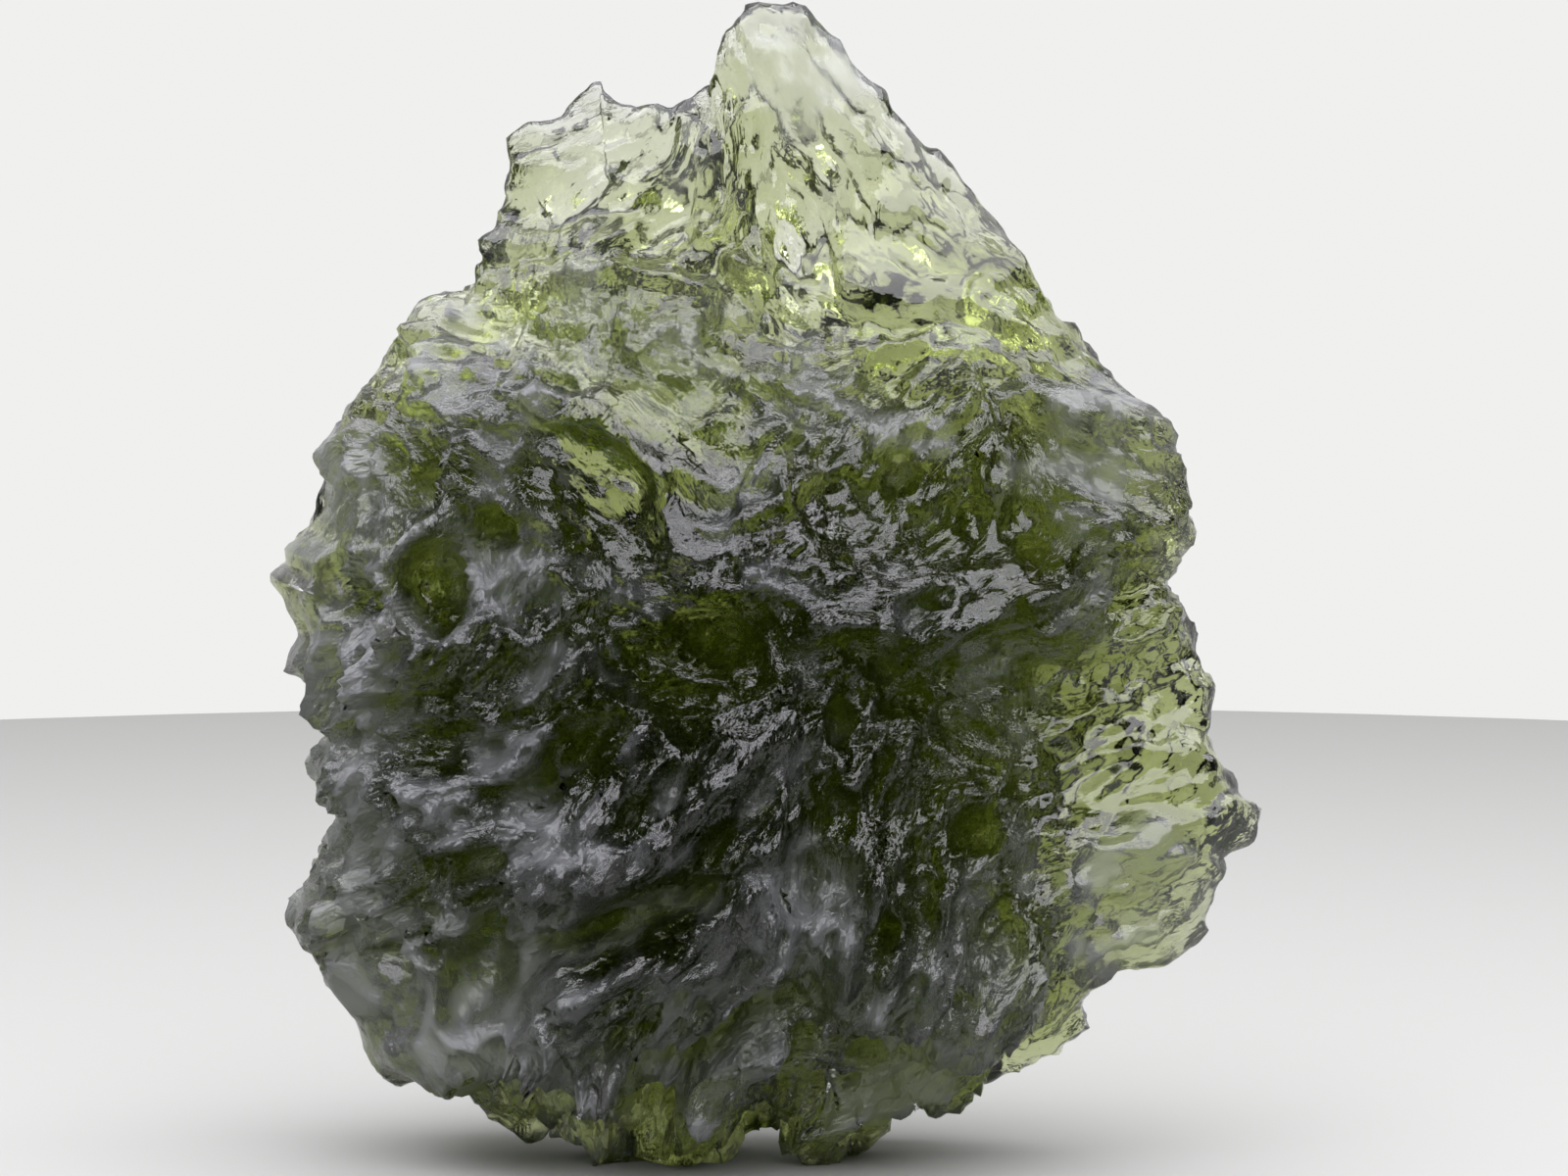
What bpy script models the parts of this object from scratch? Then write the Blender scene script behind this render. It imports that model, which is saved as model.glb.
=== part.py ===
"""A moldavite: one natural piece of bottle-green glass, pitted and grooved, standing on a small flat spot.

Frame: origin on the ground under the middle of the stone, +Z up, the broad sculpted face towards -Y.
The tables are in millimetres and degrees, as x and z on the broad face with y as depth.
The mesh is in metres.
"""

import bmesh
import bpy
import numpy as np

MM = 0.001

GRID = 48  # quads across each face of the stone, an even number
CORE = np.array([0.0, 13.5])  # the middle of the broad face, from which the outline is seen all round
MIDDLE_BLOCK = (10.0, 11.5)  # half width and half height of the block that the inner rings follow
THINNEST = 1.0  # glass left between a hollow in the front and the back

# The outline seen from the front, clockwise from the peak
OUTLINE = np.array([
    (0.1, 29.3), (1.0, 29.2), (1.9, 28.6), (2.3, 28.3), (3.0, 27.5), (3.5, 26.8), (4.0, 26.4), (4.7, 25.8),
    (5.3, 25.0), (6.1, 24.0), (6.7, 23.1), (7.2, 22.3), (7.5, 21.5), (8.0, 21.2), (8.3, 20.8), (9.0, 20.0),
    (9.8, 19.2), (10.4, 18.5), (10.4, 18.0), (10.7, 17.2), (10.6, 16.6), (10.8, 16.2), (10.4, 15.6),
    (10.2, 15.0), (9.9, 14.8), (10.3, 14.3), (10.6, 13.5), (11.0, 13.1), (11.4, 12.4), (11.7, 12.1),
    (11.6, 11.7), (11.4, 10.9), (11.7, 10.1), (12.2, 9.2), (12.5, 8.8), (12.5, 8.4), (12.4, 8.2),
    (12.0, 8.0), (11.8, 7.8), (11.9, 7.4), (11.6, 6.6), (11.4, 6.3), (11.5, 5.9), (11.2, 5.6), (10.4, 5.1),
    (9.5, 5.1), (9.1, 4.9), (8.9, 4.6), (8.3, 3.8), (8.2, 3.4), (8.0, 3.0), (7.6, 2.6), (7.1, 2.2),
    (6.6, 2.0), (6.0, 1.8), (5.6, 1.9), (5.3, 1.6), (4.6, 1.2), (4.0, 1.3), (3.7, 1.5), (3.4, 1.4),
    (3.3, 0.9), (2.9, 0.8), (2.1, 1.0), (1.8, 0.6), (1.3, 0.6), (1.1, 1.0), (0.5, 1.5), (-0.1, 1.5),
    (-0.5, 1.2), (-0.6, 0.8), (-0.9, 0.3), (-1.7, 0.1), (-2.0, 0.0), (-2.6, 0.1), (-3.2, 0.6), (-4.5, 0.6),
    (-5.1, 0.5), (-5.4, 0.7), (-5.9, 0.5), (-6.5, 0.5), (-6.9, 1.1), (-7.1, 1.5), (-7.4, 1.8), (-7.8, 2.0),
    (-8.0, 2.2), (-9.2, 2.2), (-9.6, 2.3), (-9.9, 2.6), (-10.3, 3.3), (-10.5, 3.7), (-10.9, 4.3),
    (-11.4, 5.3), (-11.9, 5.9), (-12.0, 6.2), (-11.9, 6.6), (-11.5, 6.9), (-11.4, 7.4), (-10.9, 8.0),
    (-10.8, 8.5), (-10.7, 8.9), (-11.0, 9.5), (-11.4, 10.0), (-11.4, 10.3), (-11.0, 10.9), (-11.0, 11.4),
    (-11.3, 11.6), (-11.5, 12.3), (-11.7, 12.9), (-11.7, 13.4), (-12.0, 14.0), (-12.4, 14.9),
    (-12.0, 15.2), (-12.0, 15.6), (-11.4, 16.1), (-11.1, 16.7), (-10.9, 17.4), (-11.0, 17.8),
    (-10.9, 18.4), (-10.6, 18.8), (-10.5, 19.2), (-10.3, 19.5), (-9.9, 19.8), (-9.6, 20.2), (-8.9, 20.8),
    (-8.7, 21.6), (-8.2, 21.9), (-7.3, 21.9), (-6.9, 22.3), (-6.6, 23.1), (-6.5, 24.4), (-6.3, 25.5),
    (-6.2, 26.0), (-5.9, 26.3), (-5.1, 26.7), (-4.5, 27.3), (-4.3, 27.5), (-4.0, 27.6), (-3.6, 27.2),
    (-3.1, 27.0), (-2.2, 27.0), (-1.6, 27.4), (-1.2, 27.4), (-1.0, 28.0), (-0.9, 28.3), (-0.4, 28.9),
])

# The ledge where the thick body stops under the thin upper blade: x, z of its brink
LEDGE = np.array([
    (-8.7, 21.3), (-6.5, 22.0), (-5.5, 22.9), (-3.5, 23.2), (-2.0, 22.9), (-0.5, 21.8), (1.2, 21.5),
    (7.3, 21.4),
])
LEDGE_RUN = 4.0  # how far the ledge slopes down before it reaches the full depth
# The step down from the body to the thin wing at the lower right: z, x of its brink
WING = np.array([
    (1.0, 4.5), (2.0, 5.8), (3.2, 6.8), (4.5, 7.5), (6.0, 7.4), (8.0, 7.1), (9.5, 7.0), (11.0, 7.3),
    (12.0, 7.6), (13.5, 8.0), (14.6, 9.3), (15.0, 10.4), (15.6, 14.0),
])
WING_RUN = 1.0

# Depths from the middle plane: blade, wing, body at its brow, body at its top and at its foot
FRONT_DEPTH = {"blade": 1.3, "wing": 2.1, "brow": 6.9, "top": 6.2, "foot": 6.0}
BACK_DEPTH = {"blade": 1.4, "wing": 2.6, "brow": 6.0, "top": 3.6, "foot": 3.6}
# The height of the brow, the deepest level, at two places across: x then z
FRONT_BROW = [(-9.0, 6.0), (4.0, 13.5)]
BACK_BROW = [(-9.0, 8.0), (4.0, 12.0)]
TIP = (0.45, 23.0, 29.0)  # how much thinner the blade is at its tip, and the heights between which it thins
BLUNTNESS = 6  # how square the rim is: higher keeps the full depth nearer to it
PLAIN_DEPTH = 5.0  # depth of the plain stone whose outward directions the sculpture follows
BLADE_SETBACK = (0.8, 19.5, 23.5)  # how far back the blade lies, and the heights between which it gets there
FOOT_SETBACK = (0.6, 7.0, 0.0)  # the same for the foot, which so comes under the middle of the weight

# Hollows etched into the front: x, z, half width, half height, turn, how deep it cuts
FRONT_HOLLOWS = [
    (3.2, 24.2, 4.2, 2.8, -40, 0.6),
    (-4.8, 24.5, 1.7, 1.6, 0, 0.5),
    (-1.6, 24.8, 1.0, 1.7, -35, 0.5),
    (-4.3, 18.2, 4.4, 2.2, -22, 1.3),
    (0.8, 18.6, 2.4, 1.7, 15, 1.5),
    (4.6, 19.4, 1.7, 1.4, 60, 1.2),
    (5.8, 15.8, 2.3, 2.0, 12, 2.6),
    (9.0, 18.9, 1.8, 1.3, -45, 0.9),
    (9.4, 16.1, 1.2, 1.0, 20, 0.8),
    (-9.0, 18.6, 1.6, 1.2, 45, 0.7),
    (-6.4, 5.4, 1.9, 2.4, -20, 2.0),
    (-9.6, 5.2, 1.7, 2.6, -35, 1.7),
    (-5.2, 2.0, 1.8, 1.0, -15, 1.8),
    (-2.5, 2.3, 1.3, 1.2, 40, 2.0),
    (-4.5, 10.6, 4.2, 1.8, 24, 1.4),
    (-6.8, 8.7, 1.5, 1.0, 25, 1.2),
    (-10.4, 15.2, 1.1, 1.3, 0, 2.9),
    (-7.8, 15.2, 1.2, 1.6, 0, 3.4),
    (-5.2, 14.8, 1.2, 1.0, 20, 1.2),
    (-1.2, 13.6, 3.0, 2.0, -10, 2.8),
    (2.6, 12.6, 1.6, 2.0, 25, 1.5),
    (1.6, 8.6, 1.8, 2.0, 0, 1.7),
    (4.8, 8.2, 1.6, 2.3, 8, 1.5),
    (-3.0, 6.6, 2.8, 1.0, 32, 1.3),
    (2.0, 4.2, 2.4, 1.4, -12, 1.1),
    (9.2, 10.8, 2.0, 2.6, -20, 0.6),
    (9.9, 6.9, 2.1, 1.2, 8, 0.5),
]

# Hollows etched into the back, listed the same way
BACK_HOLLOWS = [
    (2.0, 24.6, 3.6, 2.2, -50, 0.6),
    (-4.2, 24.3, 1.7, 2.2, 25, 0.5),
    (-6.2, 19.6, 3.4, 1.9, 30, 3.4),
    (-3.2, 18.0, 4.6, 2.8, -25, 5.6),
    (2.8, 19.4, 2.2, 1.5, -15, 0.8),
    (4.6, 16.4, 3.4, 1.6, 28, 0.3),
    (8.6, 18.0, 1.8, 2.4, -30, 1.0),
    (9.0, 13.8, 1.4, 1.8, 20, 0.9),
    (-9.4, 14.6, 2.2, 2.8, 20, 4.2),
    (-6.2, 13.6, 2.8, 1.4, 42, 1.5),
    (-1.6, 12.0, 3.2, 1.5, 34, 1.0),
    (3.4, 11.8, 2.4, 1.6, 20, 0.9),
    (-9.2, 8.0, 1.6, 2.0, -15, 1.0),
    (-5.4, 8.2, 2.6, 1.4, 25, 1.5),
    (0.8, 7.6, 2.8, 1.4, 30, 1.6),
    (5.0, 7.8, 1.8, 1.4, -20, 1.1),
    (-6.8, 4.2, 1.8, 1.2, 10, 1.0),
    (-1.6, 3.8, 2.4, 1.2, 20, 1.1),
    (4.4, 4.2, 2.0, 1.2, 35, 1.0),
    (9.8, 9.6, 1.8, 2.8, -5, 0.5),
    (9.4, 6.4, 1.8, 1.0, 15, 0.4),
]

# Crests left standing on the front: height, half width, then the x and z of the crest's own line
FRONT_CRESTS = [
    (1.2, 1.3, [(-11.0, 10.4), (-8.7, 9.8), (-7.0, 9.0), (-5.0, 8.8), (-3.2, 10.4), (-2.7, 11.2)]),
    (1.3, 1.2, [(-9.6, 2.8), (-7.0, 2.8), (-5.0, 3.6), (-3.0, 3.5), (-1.3, 4.3), (0.2, 5.4)]),
    (0.5, 1.0, [(7.0, 8.2), (10.0, 8.3), (12.2, 8.1)]),
    (0.4, 0.9, [(-2.2, 22.9), (-0.8, 25.0), (0.0, 26.3)]),
    (1.2, 1.6, [(3.3, 14.6), (4.6, 14.6), (6.6, 14.9), (8.0, 14.2)]),
    (0.9, 1.2, [(7.9, 19.0), (8.3, 17.6), (8.2, 15.6), (7.4, 14.2)]),
    (0.6, 1.2, [(-8.9, 16.4), (-8.7, 14.8), (-8.9, 12.8)]),
    (1.1, 1.4, [(-5.6, 7.2), (-3.4, 8.2), (-1.6, 10.2), (0.6, 11.8)]),
    (1.3, 1.5, [(-6.4, 3.6), (-4.8, 5.0), (-2.0, 6.1), (-0.3, 6.8)]),
]

# The flat spot that the stone stands on: middle and half sizes in x and y, and how far the glass is drawn down
FOOT = {"middle": (-0.6, 0.2), "half": (4.4, 4.0), "reach": 0.95, "fade": 2.8}

# Natural sculpture over the whole stone: width of a feature, how deep it is, and its seed
WARP = (3.2, 0.7, 71)  # how far the hollows stray from true ovals
LUMPS = (4.5, 0.5, 11)
PITS = (2.6, 0.85, 23)
RIM_WANDER = (7.0, 0.9, 53)  # how the edge between the two faces wanders back and forth
RIM_KEPT = 0.7  # the share of the sculpture that is left out at the rim, where the outline has its own teeth

# The way the larger grooves run: x, z, degrees up from +x, on the front and then on the back
FRONT_GRAIN = np.array([
    (0.4, 26.0, -80), (1.2, 24.0, -72), (3.2, 24.2, -52), (5.2, 23.6, -35), (-1.5, 25.0, 55),
    (-4.8, 25.4, 20), (-4.8, 23.2, -15), (-6.6, 22.0, 10), (-3.0, 22.2, -20), (0.5, 21.4, -8),
    (4.0, 21.2, 10), (7.8, 20.4, -45), (-7.8, 18.8, -35), (-4.3, 18.2, -28), (-2.0, 19.6, -55),
    (1.8, 17.2, 50), (4.2, 19.0, 70), (5.8, 16.4, 85), (9.4, 18.2, -42), (9.0, 16.0, 20),
    (-8.8, 15.0, 85), (-11.0, 15.6, 40), (-5.6, 15.2, 75), (-1.6, 14.0, -20), (3.0, 14.0, 30),
    (5.8, 14.4, 14), (-8.2, 10.8, 22), (-4.5, 10.0, 38), (-1.2, 9.6, 62), (1.0, 8.3, 88), (4.3, 8.3, 80),
    (5.5, 12.0, -25), (9.2, 11.0, 32), (9.6, 7.0, 15), (-9.4, 3.8, -38), (-5.4, 2.0, -58),
    (-3.4, 5.4, 30), (-2.0, 1.8, 62), (1.8, 3.4, 20), (4.5, 3.0, 60), (6.2, 4.6, 50), (-10.5, 7.5, 50),
])
BACK_GRAIN = np.array([
    (1.5, 25.0, -65), (-4.0, 24.0, 40), (-5.0, 19.0, 30), (3.0, 19.0, -10), (8.5, 18.0, -50),
    (-1.0, 15.5, 40), (5.0, 15.0, 25), (-9.5, 14.0, 70), (-5.5, 12.0, 42), (1.5, 11.0, 35),
    (9.5, 11.0, 80), (-8.5, 7.0, -10), (-3.5, 7.0, 28), (3.0, 7.0, 10), (9.0, 6.0, 35), (-5.5, 3.0, 15),
    (0.5, 3.0, 55), (5.0, 3.5, -30),
])
GRAIN_BLEND = 1.7  # how far one entry of the grain tables reaches
GRAIN_WAVER = (2.4, 25.0, 401)  # width, degrees and seed of the grain's own wandering
SCOOPS = {"width": 2.2, "stretch": 1.7, "depth": 1.9, "uneven": 0.5, "seed": 101, "at_rim": 0.35}

GLASS = {"colour": (0.16, 0.2, 0.07, 1.0), "roughness": 0.18, "metallic": 0.0}


def ramp(value, start, end):
    """0 before start, 1 after end, and a smooth S between them."""
    share = np.clip((value - start) / (end - start), 0.0, 1.0)
    return share * share * (3 - 2 * share)


def lattice(cell, seed):
    """A number from 0 to 1 for each whole-number cell, the same on every run."""
    key = cell.astype(np.int64).astype(np.uint32)
    code = key[..., 0] * np.uint32(73856093)
    code ^= key[..., 1] * np.uint32(19349663)
    code ^= key[..., 2] * np.uint32(83492791)
    code ^= np.uint32(seed * 2654435761 % 2**32)
    code = (code ^ (code >> np.uint32(15))) * np.uint32(2246822519)
    code = (code ^ (code >> np.uint32(13))) * np.uint32(3266489917)
    code ^= code >> np.uint32(16)
    return code / float(2**32)


def waves(points, width, seed):
    """Smooth noise from -1 to 1: lattice numbers blended across cells of the given width."""
    place = points / width
    cell = np.floor(place)
    share = place - cell
    share = share**3 * (share * (share * 6 - 15) + 10)
    total = np.zeros(len(points))
    for corner in np.ndindex(2, 2, 2):
        weight = np.prod(np.where(np.array(corner) == 1, share, 1 - share), axis=1)
        total += weight * lattice(cell + np.array(corner), seed)
    return 2 * total - 1


def pits(points, width, seed):
    """0 at the bottom of the nearest pit, rising as the square of the distance to the crests between pits."""
    place = points / width
    cell = np.floor(place)
    nearest = np.full(len(points), 9.0)
    for offset in np.ndindex(3, 3, 3):
        near = cell + np.array(offset) - 1
        middle = near + np.stack([lattice(near, seed + k) for k in range(3)], axis=1)
        nearest = np.minimum(nearest, ((place - middle) ** 2).sum(axis=1))
    return nearest


def grain_turn(points):
    """The way the grooves run at each point: the tables' directions averaged, nearer entries counting more.

    The directions are averaged as double angles, because a groove has no front end.
    """
    total = np.zeros((len(points), 2))
    behind = ramp(points[:, 1], -1.0, 1.0)
    for table, share in ((FRONT_GRAIN, 1 - behind), (BACK_GRAIN, behind)):
        for x, z, turn in table:
            away = (points[:, 0] - x) ** 2 + (points[:, 2] - z) ** 2
            weight = share * np.exp(-away / (2 * GRAIN_BLEND**2)) + 1e-9
            total[:, 0] += weight * np.cos(np.radians(2 * turn))
            total[:, 1] += weight * np.sin(np.radians(2 * turn))
    width, swing, seed = GRAIN_WAVER
    return np.arctan2(total[:, 1], total[:, 0]) / 2 + np.radians(swing) * waves(points, width, seed)


def scoops(points, turn):
    """The lowest of many bowls that are longer along the grain, each lifted by an amount of its own."""
    place = points / SCOOPS["width"]
    cell = np.floor(place)
    cos, sin = np.cos(turn), np.sin(turn)
    lowest = np.full(len(points), 9.0)
    for offset in np.ndindex(5, 3, 5):
        near = cell + np.array(offset) - (2, 1, 2)
        seed = SCOOPS["seed"]
        away = place - near - np.stack([lattice(near, seed + k) for k in range(3)], axis=1)
        along = (away[:, 0] * cos + away[:, 2] * sin) / SCOOPS["stretch"]
        across = away[:, 2] * cos - away[:, 0] * sin
        bowl = along**2 + across**2 + away[:, 1] ** 2 + SCOOPS["uneven"] * lattice(near, seed + 3)
        lowest = np.minimum(lowest, bowl)
    return lowest


def outline_at(share, line):
    """The point this share of the way round a closed line, by length."""
    closed = np.vstack([line, line[:1]])
    along = np.concatenate([[0.0], np.cumsum(np.hypot(*np.diff(closed, axis=0).T))])
    wanted = (share % 1.0) * along[-1]
    return np.stack([np.interp(wanted, along, closed[:, k]) for k in (0, 1)], axis=-1)


def softened(line, count=360, spread=22):
    """A closed line with its small teeth averaged away."""
    even = outline_at(np.arange(count) / count, line)
    return sum(np.roll(even, k, axis=0) for k in range(-spread, spread + 1)) / (2 * spread + 1)


def face_grid():
    """For each grid point of a face: how far out it lies, 0 at the core and 1 at the rim, and its x and z.

    The points lie on square rings, spread round the outline by length and squarer nearer the core.
    """
    half = GRID // 2
    a, b = np.meshgrid(np.arange(GRID + 1) - half, np.arange(GRID + 1) - half, indexing="ij")
    ring = np.maximum(np.maximum(abs(a), abs(b)), 1e-9)
    side = np.select(
        [(b == ring) & (a >= 0), a == ring, b == -ring, a == -ring],
        [a, 2 * ring - b, 4 * ring - a, 6 * ring + b],
        8 * ring + a,
    )
    share = side / (8 * ring)
    step = np.maximum(abs(a), abs(b)) / half
    out = 1 - (1 - step) ** 1.35
    keen = outline_at(share, OUTLINE)
    soft = outline_at(share, softened(OUTLINE))
    line = soft + (keen - soft) * (step**2)[..., None]
    block = CORE + np.stack([a, b], axis=-1) / ring[..., None] * MIDDLE_BLOCK
    line = block + (line - block) * (step**1.5)[..., None]
    return out, CORE + out[..., None] * (line - CORE)


def to_line(x, z, line):
    """The distance from each point to an open line."""
    nearest = np.full(x.shape, 99.0)
    for start, end in zip(np.array(line[:-1]), np.array(line[1:])):
        run = end - start
        share = np.clip(((x - start[0]) * run[0] + (z - start[1]) * run[1]) / (run @ run), 0, 1)
        nearest = np.minimum(nearest, np.hypot(x - start[0] - share * run[0], z - start[1] - share * run[1]))
    return nearest


def mass_depth(x, z, depth, brow):
    """The depth of one side before it is etched: a thin blade and wing, and a body deepest at its brow."""
    (left_x, left_z), (right_x, right_z) = brow
    level = left_z + (right_z - left_z) * ramp(x, left_x, right_x)
    body = depth["brow"] - (depth["brow"] - depth["top"]) * ramp(z, level, 20.5)
    body -= (depth["brow"] - depth["foot"]) * ramp(-z, -level, -1.0)
    brink = np.interp(x, LEDGE[:, 0], LEDGE[:, 1])
    below = ramp(brink - z, -0.2, LEDGE_RUN)
    edge = np.interp(z, WING[:, 0], WING[:, 1])
    inside = ramp(edge - x, -0.1, WING_RUN)
    thick = depth["wing"] + (body - depth["wing"]) * inside
    thinning, start, end = TIP
    blade = depth["blade"] * (1 - thinning * ramp(z, start, end))
    return blade + (thick - blade) * below


def etched(x, z, side, brow, hollows):
    """The depth of one side after each hollow has cut it back to a bowl, with crests where bowls meet."""
    depth = mass_depth(x, z, side, brow)
    width, stray, seed = WARP
    flat = np.stack([x.ravel(), np.zeros(x.size), z.ravel()], axis=1)
    x = x + stray * waves(flat, width, seed).reshape(x.shape)
    z = z + stray * waves(flat, width, seed + 1).reshape(x.shape)
    for cx, cz, half_x, half_z, turn, cut in hollows:
        cos, sin = np.cos(np.radians(turn)), np.sin(np.radians(turn))
        across = ((x - cx) * cos + (z - cz) * sin) / half_x
        up = ((z - cz) * cos - (x - cx) * sin) / half_z
        bowl = mass_depth(cx, cz, side, brow) - cut + cut * (across**2 + up**2)
        depth = np.minimum(depth, bowl)
    return depth


def face_depths(x, z):
    """The depth of the front and of the back at each grid point: hollows cut in, then crests added."""
    front = etched(x, z, FRONT_DEPTH, FRONT_BROW, FRONT_HOLLOWS)
    for height, half, line in FRONT_CRESTS:
        front += height * ramp(-to_line(x, z, line), -half, 0.0)
    back = etched(x, z, BACK_DEPTH, BACK_BROW, BACK_HOLLOWS)
    return front, np.maximum(back, THINNEST - front)


def face_points(x, z, middle, rounding, front, back):
    """One list of points for both faces, which share the points of their rim."""
    front_face = np.stack([x, middle - front * rounding, z], axis=-1)
    back_face = np.stack([x, middle + back * rounding, z], axis=-1)
    return np.vstack([front_face.reshape(-1, 3), back_face[1:-1, 1:-1].reshape(-1, 3)])


def face_quads(count):
    """The quads of both faces, whose grids have the same points at the rim."""
    front_index = np.arange(count * count).reshape(count, count)
    back_index = front_index.copy()
    back_index[1:-1, 1:-1] = count * count + np.arange((count - 2) ** 2).reshape(count - 2, count - 2)
    quads = []
    for index in (front_index, back_index[::-1]):
        corners = [index[:-1, :-1], index[1:, :-1], index[1:, 1:], index[:-1, 1:]]
        quads.append(np.stack([corner.ravel() for corner in corners], axis=1))
    return np.vstack(quads)


def outward_at(points, quads):
    """The outward direction at each point, from the quads that meet there."""
    a, b, c, d = (points[quads[:, k]] for k in range(4))
    facing = np.cross(c - a, d - b)
    total = np.zeros_like(points)
    for k in range(4):
        np.add.at(total, quads[:, k], facing)
    return total / np.linalg.norm(total, axis=1, keepdims=True)


def sculpted(points, outward, out):
    """The points pushed out and in by the lumps, pits and scoops all over the stone, less so at the rim."""
    share = 1 - RIM_KEPT * out**8
    for (width, depth, seed), shape in ((LUMPS, waves), (PITS, pits)):
        relief = shape(points, width, seed)
        points = points + outward * (share * depth * (relief - relief.mean()))[:, None]
    relief = scoops(points, grain_turn(points))
    share = 1 - (1 - SCOOPS["at_rim"]) * out**12
    return points + outward * (share * SCOOPS["depth"] * (relief - relief.mean()))[:, None]


def settled(points):
    """The points round the foot drawn down, so that the cut at the ground leaves a flat spot."""
    across = (points[:, 0] - FOOT["middle"][0]) / FOOT["half"][0]
    deep = (points[:, 1] - FOOT["middle"][1]) / FOOT["half"][1]
    near = np.clip(1 - (across**2 + deep**2) ** 2, 0, 1) * ramp(-points[:, 2], -FOOT["fade"], 0.0)
    points = points.copy()
    points[:, 2] -= FOOT["reach"] * near
    return points


def glass_material():
    material = bpy.data.materials.new("moldavite_glass")
    material.use_nodes = True
    shader = material.node_tree.nodes["Principled BSDF"]
    shader.inputs["Base Color"].default_value = GLASS["colour"]
    shader.inputs["Roughness"].default_value = GLASS["roughness"]
    shader.inputs["Metallic"].default_value = GLASS["metallic"]
    return material


def make_stone():
    out, place = face_grid()
    x, z = place[..., 0], place[..., 1]
    rounding = np.sqrt(np.clip(1 - out**BLUNTNESS, 0, 1))
    width, swing, seed = RIM_WANDER
    flat = np.stack([x.ravel(), np.zeros(x.size), z.ravel()], axis=1)
    middle = swing * waves(flat, width, seed).reshape(x.shape)
    for setback, start, end in (BLADE_SETBACK, FOOT_SETBACK):
        middle = middle + setback * ramp(z, start, end)
    quads = face_quads(len(out))
    outward = outward_at(face_points(x, z, middle, rounding, PLAIN_DEPTH, PLAIN_DEPTH), quads)
    points = face_points(x, z, middle, rounding, *face_depths(x, z))
    out = np.concatenate([out.ravel(), out[1:-1, 1:-1].ravel()])
    points = settled(sculpted(points, outward, out))
    points[:, :2] -= (points[:, :2].max(axis=0) + points[:, :2].min(axis=0)) / 2
    mesh = bpy.data.meshes.new("moldavite")
    mesh.from_pydata((points * MM).tolist(), [], quads.tolist())
    work = bmesh.new()
    work.from_mesh(mesh)
    cut = bmesh.ops.bisect_plane(
        work,
        geom=work.verts[:] + work.edges[:] + work.faces[:],
        plane_co=(0, 0, 0),
        plane_no=(0, 0, -1),
        clear_outer=True,
    )
    rim = [item for item in cut["geom_cut"] if isinstance(item, bmesh.types.BMEdge)]
    bmesh.ops.holes_fill(work, edges=rim)
    bmesh.ops.triangulate(work, faces=work.faces[:])
    work.to_mesh(mesh)
    work.free()
    mesh.materials.append(glass_material())
    mesh.shade_smooth()
    mesh.set_sharp_from_angle(angle=np.radians(50))
    stone = bpy.data.objects.new("moldavite", mesh)
    bpy.context.scene.collection.objects.link(stone)
    return stone


for thing in list(bpy.data.objects):
    bpy.data.objects.remove(thing)
make_stone()
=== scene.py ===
import itertools
import math

import bpy
import numpy as np
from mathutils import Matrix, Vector


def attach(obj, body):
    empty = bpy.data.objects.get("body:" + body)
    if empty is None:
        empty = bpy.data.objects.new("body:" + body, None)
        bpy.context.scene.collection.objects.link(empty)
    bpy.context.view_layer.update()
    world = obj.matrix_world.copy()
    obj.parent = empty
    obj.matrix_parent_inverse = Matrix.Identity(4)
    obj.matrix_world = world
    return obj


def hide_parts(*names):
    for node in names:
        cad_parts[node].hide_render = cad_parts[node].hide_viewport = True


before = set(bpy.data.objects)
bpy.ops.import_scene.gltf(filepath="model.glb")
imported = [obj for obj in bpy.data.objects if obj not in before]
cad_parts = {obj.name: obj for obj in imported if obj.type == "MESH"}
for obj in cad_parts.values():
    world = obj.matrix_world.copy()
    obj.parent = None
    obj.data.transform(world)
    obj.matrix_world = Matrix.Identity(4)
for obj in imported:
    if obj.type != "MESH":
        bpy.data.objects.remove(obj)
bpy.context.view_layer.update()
millimetre = 0.001
print("frame loaded")

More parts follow.
